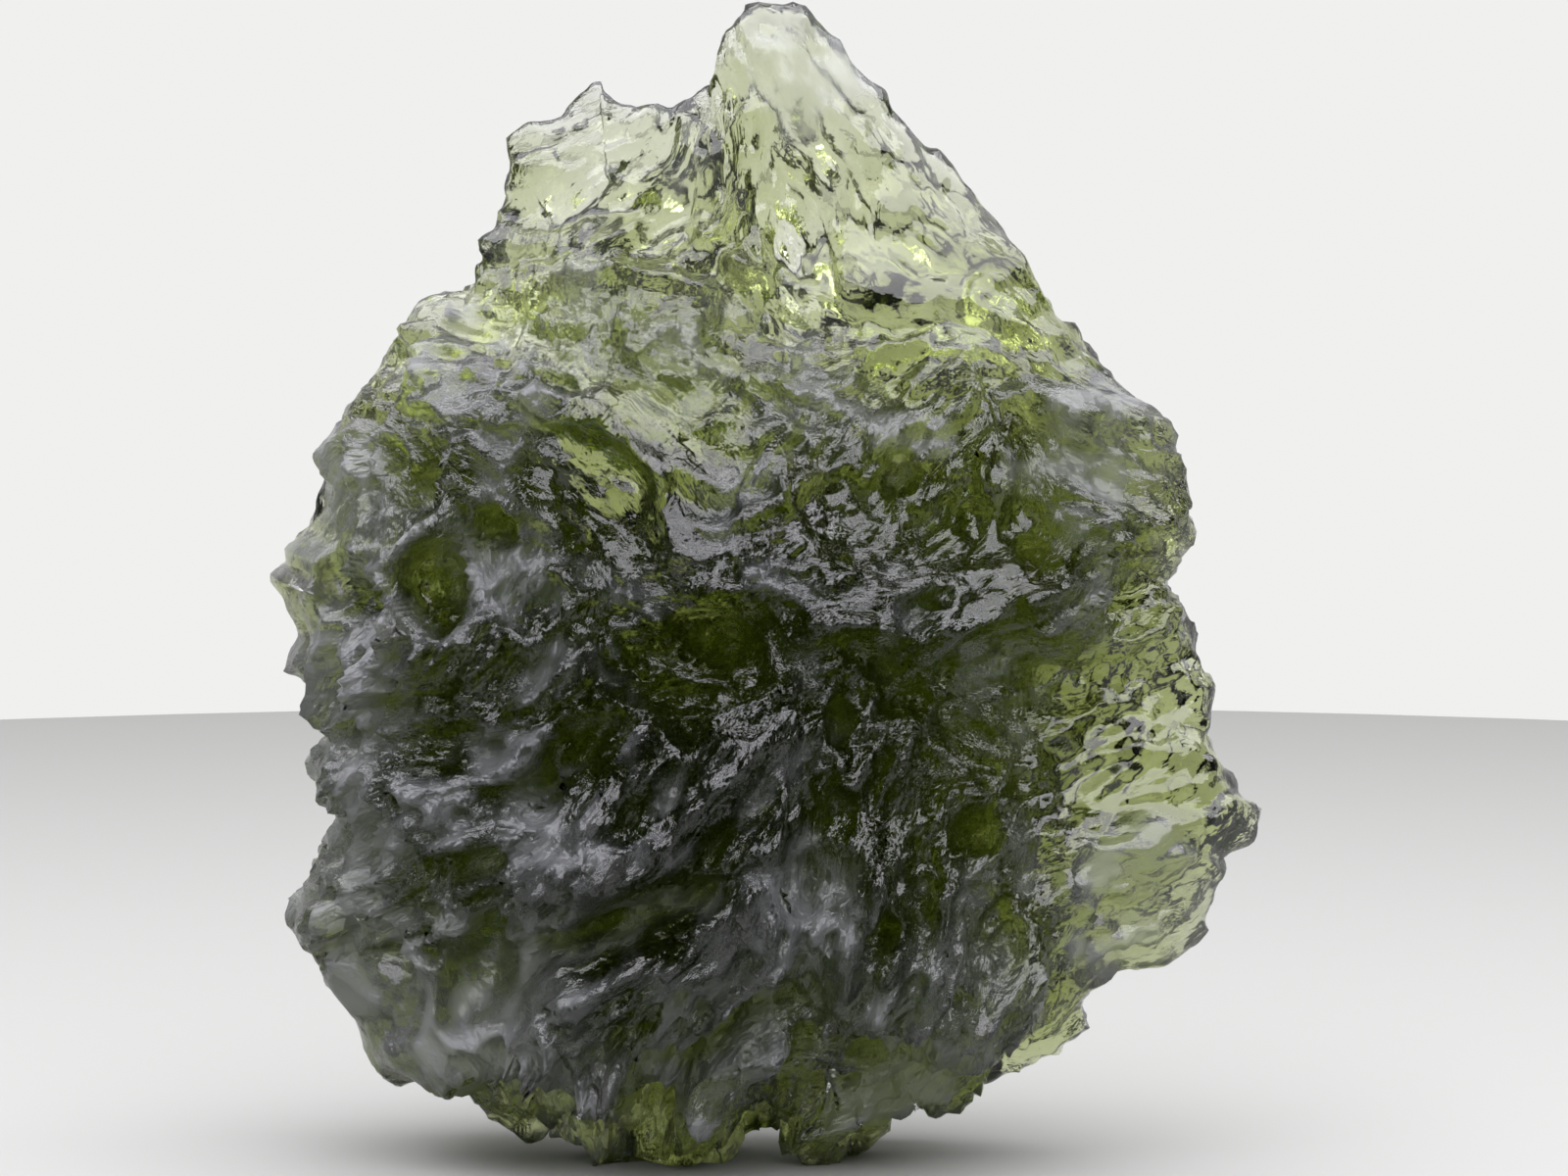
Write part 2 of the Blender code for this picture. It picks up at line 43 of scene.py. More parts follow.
# the stone's values, in millimetres and degrees: x and z on the broad face, y as depth
moldavite = {
    # the outline seen from the front, clockwise from the peak
    "outline": np.array([
        (0.1, 29.3), (1.0, 29.2), (1.9, 28.6), (2.3, 28.3), (3.0, 27.5), (3.5, 26.8), (4.0, 26.4),
        (4.7, 25.8), (5.3, 25.0), (6.1, 24.0), (6.7, 23.1), (7.2, 22.3), (7.5, 21.5), (8.0, 21.2),
        (8.3, 20.8), (9.0, 20.0), (9.8, 19.2), (10.4, 18.5), (10.4, 18.0), (10.7, 17.2), (10.6, 16.6),
        (10.8, 16.2), (10.4, 15.6), (10.2, 15.0), (9.9, 14.8), (10.3, 14.3), (10.6, 13.5), (11.0, 13.1),
        (11.4, 12.4), (11.7, 12.1), (11.6, 11.7), (11.4, 10.9), (11.7, 10.1), (12.2, 9.2), (12.5, 8.8),
        (12.5, 8.4), (12.4, 8.2), (12.0, 8.0), (11.8, 7.8), (11.9, 7.4), (11.6, 6.6), (11.4, 6.3),
        (11.5, 5.9), (11.2, 5.6), (10.4, 5.1), (9.5, 5.1), (9.1, 4.9), (8.9, 4.6), (8.3, 3.8), (8.2, 3.4),
        (8.0, 3.0), (7.6, 2.6), (7.1, 2.2), (6.6, 2.0), (6.0, 1.8), (5.6, 1.9), (5.3, 1.6), (4.6, 1.2),
        (4.0, 1.3), (3.7, 1.5), (3.4, 1.4), (3.3, 0.9), (2.9, 0.8), (2.1, 1.0), (1.8, 0.6), (1.3, 0.6),
        (1.1, 1.0), (0.5, 1.5), (-0.1, 1.5), (-0.5, 1.2), (-0.6, 0.8), (-0.9, 0.3), (-1.7, 0.1),
        (-2.0, 0.0), (-2.6, 0.1), (-3.2, 0.6), (-4.5, 0.6), (-5.1, 0.5), (-5.4, 0.7), (-5.9, 0.5),
        (-6.5, 0.5), (-6.9, 1.1), (-7.1, 1.5), (-7.4, 1.8), (-7.8, 2.0), (-8.0, 2.2), (-9.2, 2.2),
        (-9.6, 2.3), (-9.9, 2.6), (-10.3, 3.3), (-10.5, 3.7), (-10.9, 4.3), (-11.4, 5.3), (-11.9, 5.9),
        (-12.0, 6.2), (-11.9, 6.6), (-11.5, 6.9), (-11.4, 7.4), (-10.9, 8.0), (-10.8, 8.5), (-10.7, 8.9),
        (-11.0, 9.5), (-11.4, 10.0), (-11.4, 10.3), (-11.0, 10.9), (-11.0, 11.4), (-11.3, 11.6),
        (-11.5, 12.3), (-11.7, 12.9), (-11.7, 13.4), (-12.0, 14.0), (-12.4, 14.9), (-12.0, 15.2),
        (-12.0, 15.6), (-11.4, 16.1), (-11.1, 16.7), (-10.9, 17.4), (-11.0, 17.8), (-10.9, 18.4),
        (-10.6, 18.8), (-10.5, 19.2), (-10.3, 19.5), (-9.9, 19.8), (-9.6, 20.2), (-8.9, 20.8),
        (-8.7, 21.6), (-8.2, 21.9), (-7.3, 21.9), (-6.9, 22.3), (-6.6, 23.1), (-6.5, 24.4), (-6.3, 25.5),
        (-6.2, 26.0), (-5.9, 26.3), (-5.1, 26.7), (-4.5, 27.3), (-4.3, 27.5), (-4.0, 27.6), (-3.6, 27.2),
        (-3.1, 27.0), (-2.2, 27.0), (-1.6, 27.4), (-1.2, 27.4), (-1.0, 28.0), (-0.9, 28.3), (-0.4, 28.9),
    ]),
    # hollows etched into the front: x, z, half width, half height, turn, how deep it cuts
    "frontHollows": [
        (3.2, 24.2, 4.2, 2.8, -40, 0.6), (-4.8, 24.5, 1.7, 1.6, 0, 0.5), (-1.6, 24.8, 1.0, 1.7, -35, 0.5),
        (-4.3, 18.2, 4.4, 2.2, -22, 1.3), (0.8, 18.6, 2.4, 1.7, 15, 1.5), (4.6, 19.4, 1.7, 1.4, 60, 1.2),
        (5.8, 15.8, 2.3, 2.0, 12, 2.6), (9.0, 18.9, 1.8, 1.3, -45, 0.9), (9.4, 16.1, 1.2, 1.0, 20, 0.8),
        (-9.0, 18.6, 1.6, 1.2, 45, 0.7), (-6.4, 5.4, 1.9, 2.4, -20, 2.0), (-9.6, 5.2, 1.7, 2.6, -35, 1.7),
        (-5.2, 2.0, 1.8, 1.0, -15, 1.8), (-2.5, 2.3, 1.3, 1.2, 40, 2.0), (-4.5, 10.6, 4.2, 1.8, 24, 1.4),
        (-6.8, 8.7, 1.5, 1.0, 25, 1.2), (-10.4, 15.2, 1.1, 1.3, 0, 2.9), (-7.8, 15.2, 1.2, 1.6, 0, 3.4),
        (-5.2, 14.8, 1.2, 1.0, 20, 1.2), (-1.2, 13.6, 3.0, 2.0, -10, 2.8), (2.6, 12.6, 1.6, 2.0, 25, 1.5),
        (1.6, 8.6, 1.8, 2.0, 0, 1.7), (4.8, 8.2, 1.6, 2.3, 8, 1.5), (-3.0, 6.6, 2.8, 1.0, 32, 1.3),
        (2.0, 4.2, 2.4, 1.4, -12, 1.1), (9.2, 10.8, 2.0, 2.6, -20, 0.6), (9.9, 6.9, 2.1, 1.2, 8, 0.5),
    ],
    # hollows etched into the back, listed the same way
    "backHollows": [
        (2.0, 24.6, 3.6, 2.2, -50, 0.6), (-4.2, 24.3, 1.7, 2.2, 25, 0.5), (-6.2, 19.6, 3.4, 1.9, 30, 3.4),
        (-3.2, 18.0, 4.6, 2.8, -25, 5.6), (2.8, 19.4, 2.2, 1.5, -15, 0.8), (4.6, 16.4, 3.4, 1.6, 28, 0.3),
        (8.6, 18.0, 1.8, 2.4, -30, 1.0), (9.0, 13.8, 1.4, 1.8, 20, 0.9), (-9.4, 14.6, 2.2, 2.8, 20, 4.2),
        (-6.2, 13.6, 2.8, 1.4, 42, 1.5), (-1.6, 12.0, 3.2, 1.5, 34, 1.0), (3.4, 11.8, 2.4, 1.6, 20, 0.9),
        (-9.2, 8.0, 1.6, 2.0, -15, 1.0), (-5.4, 8.2, 2.6, 1.4, 25, 1.5), (0.8, 7.6, 2.8, 1.4, 30, 1.6),
        (5.0, 7.8, 1.8, 1.4, -20, 1.1), (-6.8, 4.2, 1.8, 1.2, 10, 1.0), (-1.6, 3.8, 2.4, 1.2, 20, 1.1),
        (4.4, 4.2, 2.0, 1.2, 35, 1.0), (9.8, 9.6, 1.8, 2.8, -5, 0.5), (9.4, 6.4, 1.8, 1.0, 15, 0.4),
    ],
    # crests left standing on the front: height, half width, then the x and z of the crest's own line
    "frontCrests": [
        (1.2, 1.3, [(-11.0, 10.4), (-8.7, 9.8), (-7.0, 9.0), (-5.0, 8.8), (-3.2, 10.4), (-2.7, 11.2)]),
        (1.3, 1.2, [(-9.6, 2.8), (-7.0, 2.8), (-5.0, 3.6), (-3.0, 3.5), (-1.3, 4.3), (0.2, 5.4)]),
        (0.5, 1.0, [(7.0, 8.2), (10.0, 8.3), (12.2, 8.1)]),
        (0.4, 0.9, [(-2.2, 22.9), (-0.8, 25.0), (0.0, 26.3)]),
        (1.2, 1.6, [(3.3, 14.6), (4.6, 14.6), (6.6, 14.9), (8.0, 14.2)]),
        (0.9, 1.2, [(7.9, 19.0), (8.3, 17.6), (8.2, 15.6), (7.4, 14.2)]),
        (0.6, 1.2, [(-8.9, 16.4), (-8.7, 14.8), (-8.9, 12.8)]),
        (1.1, 1.4, [(-5.6, 7.2), (-3.4, 8.2), (-1.6, 10.2), (0.6, 11.8)]),
        (1.3, 1.5, [(-6.4, 3.6), (-4.8, 5.0), (-2.0, 6.1), (-0.3, 6.8)]),
    ],
    "quadsAcross": 218,  # across each face, an even number
    "ringShift": 1.35,  # over 1 draws the grid's rings closer together at the rim
    "ringBlend": 1.5,  # higher keeps more of the inner rings square
    "core": np.array([0.0, 13.5]),  # the middle of the broad face
    "middleBlock": (10.0, 11.5),  # half width and half height of the block that the inner rings follow
    "thinnest": 1.0,  # glass left between a hollow in the front and the back
    "frontDepth": {"blade": 1.3, "wing": 2.1, "brow": 6.9, "top": 6.2, "foot": 6.0},
    "backDepth": {"blade": 1.4, "wing": 2.6, "brow": 6.0, "top": 3.6, "foot": 3.6},
    "bodyEnds": (1.0, 20.5),  # the heights at which the body is as deep as its foot and as its top
    # the height of the brow, the deepest level, at two places across: x, z on the front and on the back
    "frontBrow": [(-9.0, 6.0), (4.0, 13.5)],
    "backBrow": [(-9.0, 8.0), (4.0, 12.0)],
    "tip": (0.45, 23.0, 29.0),  # share of the blade's depth lost at its tip, and the heights it thins between
    # where the thick body stops under the thin upper blade, as x, z of its brink, and how far above and
    # below the brink the ledge runs
    "ledge": np.array([(-8.7, 21.3), (-6.5, 22.0), (-5.5, 22.9), (-3.5, 23.2), (-2.0, 22.9), (-0.5, 21.8),
                       (1.2, 21.5), (7.3, 21.4)]),
    "ledgeRun": (-0.2, 4.0),
    # the step down from the body to the thin wing at the lower right, as z, x of its brink, and how far
    # outside and inside the brink it runs
    "wing": np.array([(1.0, 4.5), (2.0, 5.8), (3.2, 6.8), (4.5, 7.5), (6.0, 7.4), (8.0, 7.1), (9.5, 7.0),
                      (11.0, 7.3), (12.0, 7.6), (13.5, 8.0), (14.6, 9.3), (15.0, 10.4), (15.6, 14.0)]),
    "wingRun": (-0.1, 1.0),
    # how far back the middle of the stone lies, and the heights between which it gets there: blade, foot
    "setbacks": [(0.8, 19.5, 23.5), (0.6, 7.0, 0.0)],
    "rimWander": (7.0, 0.9, 53),  # how the edge between the faces wanders: width, depth, seed
    "warp": (3.2, 0.7, 71),  # how the hollows stray from true ovals: width, how far, seed
    "lumps": (4.5, 0.5, 11),  # width, depth, seed
    "pits": (2.6, 0.85, 23),  # width, depth, seed
    "bluntness": 6,  # how square the rim is: higher keeps the full depth nearer to it
    "plainDepth": 5.0,  # depth of the plain stone whose outward directions the sculpture follows
    # share of the lumps and pits left out at the rim, where the outline has its own teeth, and how narrow
    # the band is, as a power
    "rimBand": (0.7, 8),
    # depths past which the few highest crests are pressed back, and the depths they never pass: front, back
    "crestLimits": [(-7.6, -8.6), (6.6, 7.5)],
    # the patch drawn down to the ground: its middle and half size as x, y, how far down, and the height
    # over which that fades
    "foot": {"middle": (-0.6, 0.2), "half": (4.4, 4.0), "reach": 0.95, "fade": 2.8},
    # the way the grooves run: x, z, degrees up from +x, on the front, then on the back, and the depths
    # between which the one gives way to the other
    "frontGrain": np.array([
        (0.4, 26.0, -80), (1.2, 24.0, -72), (3.2, 24.2, -52), (5.2, 23.6, -35), (-1.5, 25.0, 55),
        (-4.8, 25.4, 20), (-4.8, 23.2, -15), (-6.6, 22.0, 10), (-3.0, 22.2, -20), (0.5, 21.4, -8),
        (4.0, 21.2, 10), (7.8, 20.4, -45), (-7.8, 18.8, -35), (-4.3, 18.2, -28), (-2.0, 19.6, -55),
        (1.8, 17.2, 50), (4.2, 19.0, 70), (5.8, 16.4, 85), (9.4, 18.2, -42), (9.0, 16.0, 20),
        (-8.8, 15.0, 85), (-11.0, 15.6, 40), (-5.6, 15.2, 75), (-1.6, 14.0, -20), (3.0, 14.0, 30),
        (5.8, 14.4, 14), (-8.2, 10.8, 22), (-4.5, 10.0, 38), (-1.2, 9.6, 62), (1.0, 8.3, 88),
        (4.3, 8.3, 80), (5.5, 12.0, -25), (9.2, 11.0, 32), (9.6, 7.0, 15), (-9.4, 3.8, -38),
        (-5.4, 2.0, -58), (-3.4, 5.4, 30), (-2.0, 1.8, 62), (1.8, 3.4, 20), (4.5, 3.0, 60), (6.2, 4.6, 50),
        (-10.5, 7.5, 50),
    ]),
    "backGrain": np.array([
        (1.5, 25.0, -65), (-4.0, 24.0, 40), (-5.0, 19.0, 30), (3.0, 19.0, -10), (8.5, 18.0, -50),
        (-1.0, 15.5, 40), (5.0, 15.0, 25), (-9.5, 14.0, 70), (-5.5, 12.0, 42), (1.5, 11.0, 35),
        (9.5, 11.0, 80), (-8.5, 7.0, -10), (-3.5, 7.0, 28), (3.0, 7.0, 10), (9.0, 6.0, 35),
        (-5.5, 3.0, 15), (0.5, 3.0, 55), (5.0, 3.5, -30),
    ]),
    "grainEnds": (-1.0, 1.0),
    # where the fine sculpture is fainter or bolder: x, z, radius, share
    "smoothPatches": [
        (3.4, 24.0, 3.6, 0.3), (1.6, 27.6, 1.8, 0.5), (-4.6, 24.6, 1.9, 0.6), (-1.2, 24.8, 2.0, 0.6),
        (6.4, 22.2, 1.8, 0.6), (9.8, 9.6, 3.6, 0.5), (-3.4, 18.0, 3.4, 0.5), (-9.4, 4.0, 2.3, 0.3),
        (-6.6, 4.6, 2.0, 0.35), (1.9, 16.9, 1.4, 0.5), (5.7, 16.3, 1.8, 0.5), (5.6, 14.2, 1.6, 0.6),
        (9.2, 18.2, 1.5, 0.6), (-4.6, 2.2, 2.8, 1.4), (0.8, 2.4, 2.8, 1.4), (-10.2, 13.4, 2.8, 1.35),
        (-11.6, 14.7, 1.8, 0.3),
    ],
    # where the front is etched matt or left clear: x, z, radius, how matt, from 0 to over 1
    "mattPlaces": [
        (-4.8, 21.6, 2.8, 0.7), (-1.2, 21.2, 2.6, 0.6), (1.6, 20.0, 2.2, 0.6), (5.4, 20.4, 1.8, 0.5),
        (9.2, 18.8, 2.8, 0.9), (-9.6, 4.2, 3.4, 1.3), (-6.4, 4.4, 2.6, 1.1), (-10.8, 8.4, 2.4, 1.3),
        (-10.6, 12.4, 2.8, 1.8), (-10.8, 16.6, 2.6, 1.8), (-4.8, 2.2, 2.8, 1.4), (-1.2, 2.2, 2.4, 1.0),
        (3.0, 2.2, 2.8, 1.1), (-5.4, 8.0, 2.4, 0.9), (-6.9, 15.4, 1.4, 1.2), (-3.2, 17.6, 3.4, 0.0),
        (5.8, 15.4, 3.0, 0.0), (-1.0, 12.8, 3.4, 0.0), (4.2, 10.0, 3.6, 0.0), (2.0, 16.6, 2.4, 0.0),
        (-7.8, 20.6, 2.4, 0.9), (1.2, 27.8, 2.2, 1.4), (-4.6, 24.8, 1.8, 0.6), (-1.4, 24.8, 1.3, 0.6),
        (9.8, 6.6, 2.8, 1.6), (0.6, 5.4, 2.8, 0.9), (5.2, 4.6, 2.6, 0.9),
    ],
    "placeEnds": (0.7, 1.2),  # the depths between which the places of these two tables end at the back
    # each layer of scoops: width, stretch along the grain, depth, how uneven their floors are, seed
    "layers": [(2.2, 1.7, 1.9, 0.5, 101), (1.2, 2.2, 1.6, 0.5, 211), (0.7, 2.4, 1.2, 0.5, 307),
               (0.42, 2.0, 0.6, 0.4, 401)],
    "blend": 1.7,  # how far one entry of the grain tables reaches
    "waver": (2.4, 25.0, 401),  # width, degrees and seed of the grain's own wandering
    "scoopRimBand": (0.35, 12),  # share of the scoops kept at the rim, and how narrow the band is
    # deep holes: width between them, share of it that a hole takes, depth, how steep its wall is, and seed
    "holes": (2.9, 0.25, 1.6, 1.5, 709),
    # plates, inside which the finest grooves keep one run: width, how drawn out the grooves are, how far
    # apart the patterns of two plates can lie, and seed
    "plates": (2.0, 2.6, 9.0, 503),
    "scoopsOnThinGlass": 0.8,  # share of the scoops kept on the blade and the wing
    "onThinGlass": 0.45,  # share of the bumps there
    "mattPatches": (1.1, 601),  # patches of matt etching on the body: width and seed
    "mattEnds": (-0.1, 0.6),  # the levels of the noise at which they begin and are full
    "mattFloor": 0.3,  # share of them kept on thin glass, and how matt a place is between them
    # the glass
    "tint": (0.97, 0.98, 0.95, 1.0),
    "refraction": 1.49,
    "polish": 0.03,  # roughness of the clear thin glass
    "gloss": 0.12,  # roughness of the thick body
    "frost": 0.28,  # how much rougher the matt places are
    "skinShare": 0.16,  # how much of the light the fully matt places scatter straight back
    "skinColour": (0.56, 0.57, 0.6, 1.0),
    "skinRoughness": 0.6,
    "absorbed": (375.0, 335.0, 660.0),  # how strongly red, green and blue light are lost, per metre of glass
    # chips, each a small facet with a tilt of its own, and grooves finer than the mesh, all in millimetres
    "chipWidth": 0.42,
    "chipLean": 1.1,
    "grooveWidth": 0.16,
    "grooveDepth": 0.1,
}


# 0 before start, 1 after end, and a smooth S between them
def ramp(value, start, end):
    share = np.clip((value - start) / (end - start), 0.0, 1.0)
    return share * share * (3 - 2 * share)


# a number from 0 to 1 for each whole-number cell: the cell's three numbers stirred together bit by bit
def cellNumbers(cell, seed):
    key = cell.astype(np.int64).astype(np.uint32)
    code = key[..., 0] * np.uint32(73856093)
    code ^= key[..., 1] * np.uint32(19349663)
    code ^= key[..., 2] * np.uint32(83492791)
    code ^= np.uint32(seed * 2654435761 % 2**32)
    code = (code ^ (code >> np.uint32(15))) * np.uint32(2246822519)
    code = (code ^ (code >> np.uint32(13))) * np.uint32(3266489917)
    code ^= code >> np.uint32(16)
    return code / float(2**32)


# smooth noise from -1 to 1: cell numbers at the eight corners, blended by how near each corner is
def smoothNoise(points, width, seed):
    place = points / width
    cell = np.floor(place)
    share = place - cell
    share = share**3 * (share * (share * 6 - 15) + 10)
    total = np.zeros(len(points))
    for corner in itertools.product((0, 1), repeat=3):
        near = np.array(corner)
        total += np.prod(np.where(near == 1, share, 1 - share), axis=1) * cellNumbers(cell + near, seed)
    return 2 * total - 1


# the nearest of the points scattered one in each cell: its squared distance, counted in cells, and its place
def nearestScattered(points, width, seed):
    place = points / width
    cell = np.floor(place)
    nearest = np.full(len(points), 9.0)
    found = np.zeros((len(points), 3))
    for offset in itertools.product((-1, 0, 1), repeat=3):
        near = cell + np.array(offset)
        middle = near + np.stack([cellNumbers(near, seed + k) for k in range(3)], axis=1)
        away = ((place - middle) ** 2).sum(axis=1)
        found = np.where((away < nearest)[:, None], middle, found)
        nearest = np.minimum(nearest, away)
    return nearest, found * width


# round pits: the squared distance to the nearest scattered point
def roundPits(points, width, seed):
    return nearestScattered(points, width, seed)[0]


# the way the grooves run at each point: the tables' directions averaged as double angles, where nearer
# entries count more
def grainTurn(points):
    total = np.zeros((len(points), 2))
    behind = ramp(points[:, 1], *moldavite["grainEnds"])
    for table, share in ((moldavite["frontGrain"], 1 - behind), (moldavite["backGrain"], behind)):
        for x, z, turn in table:
            away = (points[:, 0] - x) ** 2 + (points[:, 2] - z) ** 2
            weight = share * np.exp(-away / (2 * moldavite["blend"] ** 2)) + 1e-9
            total[:, 0] += weight * math.cos(math.radians(2 * turn))
            total[:, 1] += weight * math.sin(math.radians(2 * turn))
    width, swing, seed = moldavite["waver"]
    return np.arctan2(total[:, 1], total[:, 0]) / 2 + math.radians(swing) * smoothNoise(points, width, seed)


# long scoops: the lowest of many bowls, each a squared distance that counts less along the grain, plus
# its own lift
def longScoops(points, turn, width, stretch, uneven, seed):
    place = points / width
    cell = np.floor(place)
    cos, sin = np.cos(turn), np.sin(turn)
    lowest = np.full(len(points), 9.0)
    for offset in itertools.product((-2, -1, 0, 1, 2), (-1, 0, 1), (-2, -1, 0, 1, 2)):
        near = cell + np.array(offset)
        away = place - near - np.stack([cellNumbers(near, seed + k) for k in range(3)], axis=1)
        along = (away[:, 0] * cos + away[:, 2] * sin) / stretch
        across = away[:, 2] * cos - away[:, 0] * sin
        bowl = along**2 + across**2 + away[:, 1] ** 2 + uneven * cellNumbers(near, seed + 3)
        lowest = np.minimum(lowest, bowl)
    return lowest


# the point this share of the way round a closed line, by length
def outlineAt(share, line):
    closed = np.vstack([line, line[:1]])
    along = np.concatenate([[0.0], np.cumsum(np.hypot(*np.diff(closed, axis=0).T))])
    wanted = (share % 1.0) * along[-1]
    return np.stack([np.interp(wanted, along, closed[:, k]) for k in (0, 1)], axis=-1)


# the outline with its small teeth averaged away, each point being the mean of its neighbours
def softOutline(count=360, spread=22):
    even = outlineAt(np.arange(count) / count, moldavite["outline"])
    return sum(np.roll(even, k, axis=0) for k in range(-spread, spread + 1)) / (2 * spread + 1)


# for each grid point of a face, how far out it lies and its x and z: the points lie on square rings, each
# ring spread round the outline by length and squarer nearer the core
def faceGrid():
    quads = moldavite["quadsAcross"]
    core = moldavite["core"]
    half = quads // 2
    a, b = np.meshgrid(np.arange(quads + 1) - half, np.arange(quads + 1) - half, indexing="ij")
    ring = np.maximum(np.maximum(abs(a), abs(b)), 1e-9)
    side = np.select(
        [(b == ring) & (a >= 0), a == ring, b == -ring, a == -ring],
        [a, 2 * ring - b, 4 * ring - a, 6 * ring + b],
        8 * ring + a,
    )
    share = side / (8 * ring)
    step = np.maximum(abs(a), abs(b)) / half
    out = 1 - (1 - step) ** moldavite["ringShift"]
    keen = outlineAt(share, moldavite["outline"])
    soft = outlineAt(share, softOutline())
    line = soft + (keen - soft) * (step**2)[..., None]
    block = core + np.stack([a, b], axis=-1) / ring[..., None] * moldavite["middleBlock"]
    line = block + (line - block) * (step ** moldavite["ringBlend"])[..., None]
    return out, core + out[..., None] * (line - core)


# the distance from each point to an open line
def distanceToLine(x, z, line):
    nearest = np.full(x.shape, 99.0)
    for start, end in zip(np.array(line[:-1]), np.array(line[1:])):
        run = end - start
        share = np.clip(((x - start[0]) * run[0] + (z - start[1]) * run[1]) / (run @ run), 0, 1)
        away = np.hypot(x - start[0] - share * run[0], z - start[1] - share * run[1])
        nearest = np.minimum(nearest, away)
    return nearest


# how far below the blade's ledge and how far inside the wing's step each point lies, from 0 to 1
def bodyShares(x, z):
    brink = np.interp(x, moldavite["ledge"][:, 0], moldavite["ledge"][:, 1])
    edge = np.interp(z, moldavite["wing"][:, 0], moldavite["wing"][:, 1])
    return ramp(brink - z, *moldavite["ledgeRun"]), ramp(edge - x, *moldavite["wingRun"])


# the depth of one side before it is etched: a thin blade and wing, and a body deepest at its brow
def massDepth(x, z, depth, brow):
    (leftX, leftZ), (rightX, rightZ) = brow
    level = leftZ + (rightZ - leftZ) * ramp(x, leftX, rightX)
    low, high = moldavite["bodyEnds"]
    body = depth["brow"] - (depth["brow"] - depth["top"]) * ramp(z, level, high)
    body -= (depth["brow"] - depth["foot"]) * ramp(-z, -level, -low)
    below, inside = bodyShares(x, z)
    thick = depth["wing"] + (body - depth["wing"]) * inside
    thinning, start, end = moldavite["tip"]
    blade = depth["blade"] * (1 - thinning * ramp(z, start, end))
    return blade + (thick - blade) * below


# the depth of one side after etching: the least of the mass and of each hollow's bowl, a squared distance
def etchedDepth(x, z, side, brow, hollows):
    depth = massDepth(x, z, side, brow)
    width, stray, seed = moldavite["warp"]
    flat = np.stack([x.ravel(), np.zeros(x.size), z.ravel()], axis=1)
    x = x + stray * smoothNoise(flat, width, seed).reshape(x.shape)
    z = z + stray * smoothNoise(flat, width, seed + 1).reshape(x.shape)
    for cx, cz, halfX, halfZ, turn, cut in hollows:
        cos, sin = math.cos(math.radians(turn)), math.sin(math.radians(turn))
        across = ((x - cx) * cos + (z - cz) * sin) / halfX
        up = ((z - cz) * cos - (x - cx) * sin) / halfZ
        depth = np.minimum(depth, massDepth(cx, cz, side, brow) - cut + cut * (across**2 + up**2))
    return depth


# the depth of the front and of the back at each grid point: hollows cut into the mass, then crests added
def faceDepths(x, z):
    front = etchedDepth(x, z, moldavite["frontDepth"], moldavite["frontBrow"], moldavite["frontHollows"])
    for height, half, line in moldavite["frontCrests"]:
        front += height * ramp(-distanceToLine(x, z, line), -half, 0.0)
    back = etchedDepth(x, z, moldavite["backDepth"], moldavite["backBrow"], moldavite["backHollows"])
    return front, np.maximum(back, moldavite["thinnest"] - front)


# one list of points for both faces, which share their rim: x, z, and depth times a rounding about the
# middle plane
def facePoints(x, z, middle, rounding, front, back):
    frontFace = np.stack([x, middle - front * rounding, z], axis=-1)
    backFace = np.stack([x, middle + back * rounding, z], axis=-1)
    return np.vstack([frontFace.reshape(-1, 3), backFace[1:-1, 1:-1].reshape(-1, 3)])


# the quads of both faces, whose grids have the same points at the rim
def faceQuads(count):
    frontIndex = np.arange(count * count).reshape(count, count)
    backIndex = frontIndex.copy()
    backIndex[1:-1, 1:-1] = count * count + np.arange((count - 2) ** 2).reshape(count - 2, count - 2)
    quads = []
    for index in (frontIndex, backIndex[::-1]):
        corners = [index[:-1, :-1], index[1:, :-1], index[1:, 1:], index[:-1, 1:]]
        quads.append(np.stack([corner.ravel() for corner in corners], axis=1))
    return np.vstack(quads)


# the outward direction at each point: the summed cross products of the diagonals of the quads round it
def outwardAt(points, quads):
    a, b, c, d = (points[quads[:, k]] for k in range(4))
    facing = np.cross(c - a, d - b)
    total = np.stack([
        sum(np.bincount(quads[:, k], facing[:, axis], len(points)) for k in range(4)) for axis in range(3)
    ], axis=1)
    return total / np.maximum(np.linalg.norm(total, axis=1, keepdims=True), 1e-12)


# 1 inside half the radius round a place on the front, 0 outside the radius and on the back, and a smooth
# S between
def frontPatch(points, x, z, radius):
    away = np.hypot(points[:, 0] - x, points[:, 2] - z)
    start, end = moldavite["placeEnds"]
    return ramp(-away, -radius, -radius * 0.5) * ramp(-points[:, 1], -end, -start)


# how strong the fine sculpture is at each point: less on the blade and the wing, times the table's shares
def fineShare(points):
    below, inside = bodyShares(points[:, 0], points[:, 2])
    share = 1 - (1 - moldavite["scoopsOnThinGlass"]) * (1 - below * inside)
    for x, z, radius, left in moldavite["smoothPatches"]:
        share *= 1 - (1 - left) * frontPatch(points, x, z, radius)
    return share


# how matt the glass is at each point: patches of noise on the body, then the table's places laid over them
def mattShare(points, body):
    least = moldavite["mattFloor"]
    matt = (1 - least) * ramp(smoothNoise(points, *moldavite["mattPatches"]), *moldavite["mattEnds"])
    uneven = least + matt
    matt *= least + (1 - least) * body
    for x, z, radius, goal in moldavite["mattPlaces"]:
        matt += (goal * uneven - matt) * frontPatch(points, x, z, radius)
    return np.clip(matt, 0, 1)


